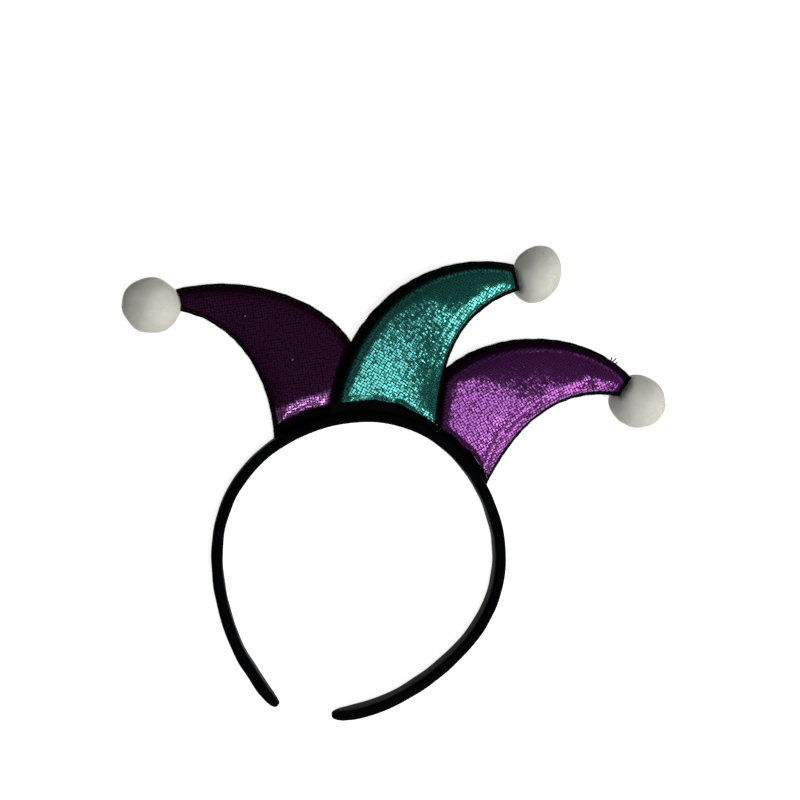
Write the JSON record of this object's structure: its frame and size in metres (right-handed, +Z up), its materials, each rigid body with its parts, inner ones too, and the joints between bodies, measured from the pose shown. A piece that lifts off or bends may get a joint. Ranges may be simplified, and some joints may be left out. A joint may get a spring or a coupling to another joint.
{
  "type": "jester horn headband",
  "caption": "Springy satin hoop for the head with padded metallic cloth jester horns on felt backings, each horn tipped with a pompom, lying face up.",
  "frame": {"origin": "on the surface that the headband lies on, under the middle of its whole box", "axes": "+Z up from that surface, +Y from the hoop's open tips towards its crown and the horns, +X to the right seen from above"},
  "size_m": [0.238, 0.2312, 0.0245],
  "materials": {
    "black_satin": "satin ribbon, soft gloss",
    "purple_lame": "metallic woven lame, glossy",
    "green_lame": "metallic woven lame, glossy",
    "black_felt": "matt felt",
    "white_pile": "short dense pile, matt"
  },
  "bodies": {
    "root": {"headband": "black_satin", "horn_left": "purple_lame", "backing_left": "black_felt", "pompom_left": "white_pile", "horn_middle": "green_lame", "backing_middle": "black_felt", "pompom_middle": "white_pile", "horn_right": "purple_lame", "backing_right": "black_felt", "pompom_right": "white_pile"}
  },
  "joints": []
}
